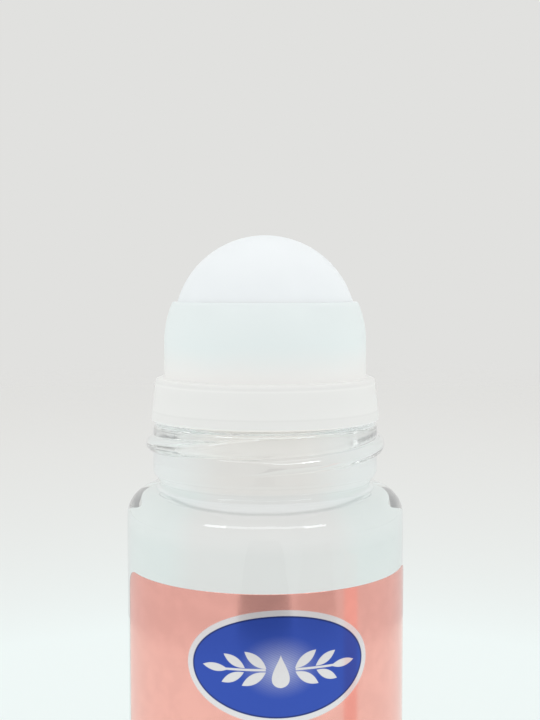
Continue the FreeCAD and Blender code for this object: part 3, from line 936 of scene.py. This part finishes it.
class ROLLON_OT_label(bpy.types.Operator):
    """Builds the printed label on the front"""

    bl_idname = "rollon.label"
    bl_label = "Label"

    def execute(self, context):
        label = context.scene.roll_on.label
        columns, corner_rows, straight_rows = 160, 9, 41
        foot, head = LABEL_LOW.z, LABEL_HIGH.z
        bend = label.corner_radius
        ease = (1 - np.cos(np.linspace(0, np.pi / 2, corner_rows))) * bend
        straight = np.linspace(foot + bend, head - bend, straight_rows)[1:-1]
        height = np.concatenate((foot + ease, straight, (head - ease)[::-1]))
        into = np.maximum(np.maximum(foot + bend - height, height - head + bend), 0)
        half = label.width / 2 - bend + np.sqrt(np.maximum(bend ** 2 - into ** 2, 0))

        # Each row runs along the outer face and back along the inner one
        arcs = half[:, None] * np.linspace(-1, 1, columns)[None, :]
        there = np.concatenate((arcs, arcs[:, ::-1]), axis=1)
        depth = np.repeat((LABEL_OUTER, LABEL_OUTER - label.thickness), columns)[None, :]
        turn = label.facing + there / LABEL_OUTER
        up = np.repeat(height[:, None], 2 * columns, axis=1)
        points = np.stack((depth * np.cos(turn), depth * np.sin(turn), up), axis=-1).reshape(-1, 3)
        here = np.arange(columns - 1)
        low_cap = np.column_stack((here + 1, here, 2 * columns - 1 - here, 2 * columns - 2 - here))
        high_cap = low_cap[:, ::-1] + (len(height) - 1) * 2 * columns
        sides = grid_faces(len(height), 2 * columns, False, True)
        faces = np.concatenate((sides, low_cap, high_cap)).tolist()
        finish = label_finish(label)
        piece = add_piece("label_film", points, faces, finish, "bottle", "front_label")
        piece.visible_shadow = False
        piece.visible_diffuse = False

        sheet = np.stack((there / label.width + 0.5, (up - foot) / (head - foot)), axis=-1).reshape(-1, 2)
        loops = np.empty(len(piece.data.loops), dtype=np.int32)
        piece.data.loops.foreach_get("vertex_index", loops)
        layer = piece.data.uv_layers.new(name="sheet")
        layer.data.foreach_set("uv", sheet[loops].astype(np.float32).ravel())
        return {"FINISHED"}


class ROLLON_OT_lotion(bpy.types.Operator):
    """Builds the lotion in the bottle"""

    bl_idname = "rollon.lotion"
    bl_label = "Lotion"

    def execute(self, context):
        lotion = context.scene.roll_on.lotion
        glass = context.scene.roll_on.glass
        bore = glass.bore_radius / MM
        top = LOTION_TOP / MM
        line = profile(
            *hollow(glass, WET),
            corner(bore + WET, FILM_TOP - 0.04),
            corner(bore + WET, FILM_TOP),
            corner(bore - WET, FILM_TOP),
            corner(bore - WET, FILM_TOP - 0.25),
            corner(bore - 0.3, FILM_TOP - 0.6),
            corner(bore - 0.35, top + 0.1),
            corner(bore - 0.5, top - 0.1),
            corner(0, top - 0.12),
            step=1.6,
        ) * MM
        points, faces = turned_shell(all_round(line, lotion.columns), line[:, 1], False)
        finish = lotion_finish(lotion, glass.shoulder_height / MM)
        add_piece("lotion_body", points, faces, finish, "bottle", "lotion_fill")
        return {"FINISHED"}


class ROLLON_OT_stage(bpy.types.Operator):
    """Builds the floor, the lights and the camera"""

    bl_idname = "rollon.stage"
    bl_label = "Studio"

    def execute(self, context):
        studio = context.scene.roll_on.studio
        self.floor(studio)
        self.world(context, studio)
        self.lamps(studio)
        self.flags()
        self.camera(context, studio)
        context.scene.view_settings.view_transform = "Standard"
        paths = context.scene.cycles
        paths.max_bounces = 32
        paths.glossy_bounces = 24
        paths.transmission_bounces = 24
        return {"FINISHED"}

    @staticmethod
    def floor(studio):
        """A flat round floor of rings about the axis that thins out to the surround far from the bottle."""
        columns, rings = 96, 40
        radius = np.geomspace(0.02, 3.0, rings)[:, None]
        turn = angles(columns)
        flat = np.zeros((rings, columns))
        points = np.stack((radius * np.cos(turn), radius * np.sin(turn), flat), axis=-1).reshape(-1, 3)
        quads = grid_faces(rings, columns, False, True)[:, ::-1]
        here = np.arange(columns)
        fan = np.column_stack((np.full(columns, len(points)), here, (here + 1) % columns))
        mesh = bpy.data.meshes.new("studio_floor")
        mesh.from_pydata(np.concatenate((points, np.zeros((1, 3)))), [], quads.tolist() + fan.tolist())

        finish = Finish.of_material("pale_floor")
        across, back = finish.place(finish.spot())[:2]
        away = from_axis(across, back)
        fade_first, fade_last = 380, 1100
        far = (1 - (studio.floor_reach / MM / away.most(1)) ** 1.5).most(0)
        shade = finish.mix(far, rgba(studio.floor_near), rgba(studio.surround))
        matt = finish.add("ShaderNodeBsdfDiffuse", None, {"Color": shade})
        clear = finish.add("ShaderNodeBsdfTransparent")
        faded = finish.blend(away.rise(fade_first, fade_last), matt, clear)
        mesh.materials.append(finish.surface(faded))
        floor = link("studio_floor", mesh)

    @staticmethod
    def world(context, studio):
        """An even pale surround for the eye, reflections and glass, and a light for matt surfaces that dims
        toward the front and brightens toward both sides, by the squared cosine of the angle from them."""
        world = bpy.data.worlds.new("pale_surround")
        finish = Finish(world)
        camera, glossy, through = [
            finish.add("ShaderNodeLightPath", None, None, f"Is {kind} Ray")
            for kind in ("Camera", "Glossy", "Transmission")
        ]
        surround = finish.add("ShaderNodeBackground", None, {"Color": rgba(studio.surround), "Strength": 1.0})
        aside, back = finish.split(finish.add("ShaderNodeTexCoord", output="Generated"), 2)
        front = (0 - back).most(0)
        shade = finish.mix(front * front, rgba(studio.light_colour), rgba(studio.front_colour))
        shade = finish.mix(aside * aside, shade, rgba(studio.side_light_colour))
        light = finish.add("ShaderNodeBackground", None, {"Color": shade, "Strength": studio.light_strength})
        both = finish.blend(camera.most(glossy).most(through), light, surround)
        finish.add("ShaderNodeOutputWorld", None, {"Surface": both})
        context.scene.world = world

    def lamps(self, studio):
        """A soft lamp overhead, and strips in a bow before the bottle that light only highlights."""
        over, body, box = (0, 0.05, 0.75), (0, 0, 0.05), (0.6, 0.6)
        self.lamp("soft_box_over", studio, over, body, box, studio.over_power)
        shoulder, strip = (0, 0, 0.055), (0.12, 0.05)
        reach, up, bow = 0.24, 0.245, 0.045
        end_power, middle_power = 0.12, 0.05
        for index, along in enumerate((-1, -0.5, 0, 0.5, 1)):
            place = (reach * along, -reach, up + bow * along ** 2)
            power = end_power if abs(along) == 1 else middle_power
            self.lamp(f"strip_{index}", studio, place, shoulder, strip, power, sheen_only=True)

    @staticmethod
    def lamp(name, studio, place, aim, size, power, sheen_only=False):
        """A rectangular lamp that faces a point, and may light only highlights."""
        lamp = bpy.data.lights.new(name, "AREA")
        lamp.shape = "RECTANGLE"
        lamp.size, lamp.size_y = size
        lamp.energy = power
        lamp.color = studio.lamp_colour
        across, back, up = np.array(aim) - np.array(place)
        lean = math.atan2(math.hypot(across, back), -up)
        swing = math.atan2(back, across) - math.pi / 2
        holder = link(name, lamp)
        holder.location = place
        holder.rotation_euler = (lean, 0, swing)
        holder.visible_diffuse = not sheen_only

    def flags(self):
        """A card that only glass sees behind the bottle, and cards on the floor that only reflections see."""
        aside, behind, low, high = 0.18, 0.42, 0.02, 0.17
        corners = ((-aside, behind, low), (aside, behind, low), (aside, behind, high), (-aside, behind, high))
        self.flag("flag_behind", corners, (0.36, 0.36, 0.37), transmission=True)
        lift = 0.0008
        for name, corners, shade in (
            ("flag_front", ((-0.06, -0.40), (0.06, -0.40), (0.06, -0.15), (-0.06, -0.15)),
             (0.25, 0.25, 0.26)),
            ("flag_near", ((0.06, -0.155), (0.14, -0.235), (0.215, -0.17), (0.135, -0.09)),
             (0.50, 0.48, 0.47)),
            ("flag_aside", ((0.0514, -0.0345), (0.2118, -0.1044), (0.2286, -0.0535), (0.0562, -0.0231)),
             (0.84, 0.61, 0.57)),
        ):
            self.flag(name, [(*spot, lift) for spot in corners], shade, glossy=True)
        columns, inner, outer = 48, 0.14, 0.6
        turn = angles(columns)
        ring = np.stack((np.cos(turn), np.sin(turn), np.zeros(columns)), axis=-1)
        corners = np.concatenate((ring * inner, ring * outer)) + (0, 0, lift / 2)
        faces = grid_faces(2, columns, False, True).tolist()
        self.flag("flag_ring", corners, (0.70, 0.71, 0.71), glossy=True, faces=faces)

    @staticmethod
    def flag(name, corners, shade, glossy=False, transmission=False, faces=((0, 1, 2, 3),)):
        """A flat card between its corners that only reflections or only glass see, as a studio flag is."""
        mesh = bpy.data.meshes.new(name)
        mesh.from_pydata(corners, [], faces)
        finish = Finish.of_material(name)
        matt = finish.add("ShaderNodeBsdfDiffuse", None, {"Color": rgba(shade)})
        mesh.materials.append(finish.surface(matt))
        card = link(name, mesh)
        card.visible_camera = False
        card.visible_diffuse = False
        card.visible_shadow = False
        card.visible_glossy = glossy
        card.visible_transmission = transmission

    @staticmethod
    def camera(context, studio):
        """A camera before the bottle that looks a little down."""
        camera = bpy.data.cameras.new("camera")
        camera.lens = studio.focal
        camera.sensor_width = 36
        camera.clip_start = 0.01
        holder = link("camera", camera)
        holder.location = (studio.camera_aside, -studio.camera_away, studio.camera_up)
        holder.rotation_euler = (math.pi / 2 - studio.camera_pitch, 0, 0)
        context.scene.camera = holder


class ROLLON_PT_panel(bpy.types.Panel):
    """Lists the pieces and their settings"""

    bl_idname = "ROLLON_PT_panel"
    bl_label = "Roll On Bottle"
    bl_space_type = "VIEW_3D"
    bl_region_type = "UI"
    bl_category = "Roll On"

    def draw(self, context):
        settings = context.scene.roll_on
        for name, operator in (
            ("glass", ROLLON_OT_glass), ("housing", ROLLON_OT_housing), ("ball", ROLLON_OT_ball),
            ("label", ROLLON_OT_label), ("lotion", ROLLON_OT_lotion), ("studio", ROLLON_OT_stage),
        ):
            box = self.layout.box()
            box.operator(operator.bl_idname)
            group = getattr(settings, name)
            for key in group.__annotations__:
                box.prop(group, key)


CLASSES = (
    GlassSettings, HousingSettings, BallSettings, LabelSettings, LotionSettings, StudioSettings,
    RollOnSettings, ROLLON_OT_glass, ROLLON_OT_housing, ROLLON_OT_ball, ROLLON_OT_label,
    ROLLON_OT_lotion, ROLLON_OT_stage, ROLLON_PT_panel,
)


def register():
    for item in CLASSES:
        bpy.utils.register_class(item)
    bpy.types.Scene.roll_on = bpy.props.PointerProperty(type=RollOnSettings)


def unregister():
    del bpy.types.Scene.roll_on
    for item in reversed(CLASSES):
        bpy.utils.unregister_class(item)


def main():
    """Builds every piece and the studio."""
    register()
    bpy.ops.rollon.glass()
    bpy.ops.rollon.housing()
    bpy.ops.rollon.ball()
    bpy.ops.rollon.label()
    bpy.ops.rollon.lotion()
    bpy.ops.rollon.stage()


if __name__ == "__main__":
    main()
